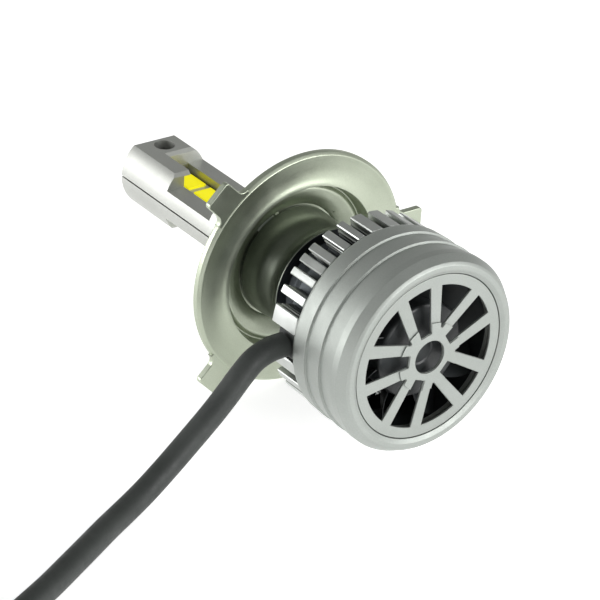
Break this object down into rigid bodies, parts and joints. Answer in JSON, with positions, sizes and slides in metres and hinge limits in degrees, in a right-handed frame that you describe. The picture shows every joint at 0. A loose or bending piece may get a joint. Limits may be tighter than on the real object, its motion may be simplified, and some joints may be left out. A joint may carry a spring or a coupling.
{
  "type": "headlight bulb",
  "caption": "LED headlight bulb: flat-sided light column, dished collar with lugs, waisted finned heatsink, fan behind a wheel-shaped grille, and a short lead with a blade plug.",
  "frame": {"origin": "centre of the collar's seat plane, on the bulb's axis", "axes": "+Y along the bulb's axis to the tip of the light column, +X to the collar's wide lug, +Z square to the upper LED face"},
  "size_m": [0.1581, 0.0895, 0.043],
  "materials": {
    "collar_metal": "satin, anodised champagne grey",
    "fin_metal": "satin",
    "cover_paint": "satin silver grey",
    "column_metal": "bead blasted",
    "black_plastic": "satin",
    "black_rubber": "matte",
    "copper": "bright copper",
    "board_green": "solder-masked board",
    "phosphor": "yellow phosphor",
    "steel": "bright",
    "ferrite": "dark sintered"
  },
  "bodies": {
    "bulb": {"collar_seal_ring": "black_rubber", "heatsink_body": "fin_metal", "driver_board": "board_green", "driver_inductor": "ferrite", "driver_capacitor": "black_plastic", "driver_chip": "black_plastic", "fan_frame": "black_plastic", "fan_circuit_board": "board_green", "fan_bearing": "copper", "fan_stator": "ferrite", "rear_cover": "cover_paint", "wheel_grille": "cover_paint", "hub_star": "cover_paint", "column_shell_upper": "column_metal", "column_shell_lower": "column_metal", "led_core": "copper", "led_board_upper": "column_metal", "led_board_lower": "column_metal", "led_chip_upper_rear": "phosphor", "led_chip_upper_front": "phosphor", "led_chip_lower_rear": "phosphor", "led_chip_lower_front": "phosphor", "tip_screw": "steel", "tip_nut": "steel", "cable_grommet": "black_rubber", "power_cable": "black_rubber", "plug_housing": "black_plastic", "plug_blade_left": "steel", "plug_blade_right": "steel", "plug_blade_cross": "steel"},
    "fan": {"fan_impeller": "black_plastic", "fan_magnet_ring": "ferrite", "fan_shaft": "steel"},
    "collar": {"collar_flange": "collar_metal"}
  },
  "joints": [
    {"name": "fan_spin", "type": "hinge", "parent": "bulb", "child": "fan", "pos_m": [0, -0.031, 0], "axis": [0, 1, 0], "continuous": true},
    {"name": "collar_twist", "type": "hinge", "parent": "bulb", "child": "collar", "pos_m": [0, 0, 0], "axis": [0, 1, 0], "range_deg": [0, 30]}
  ]
}
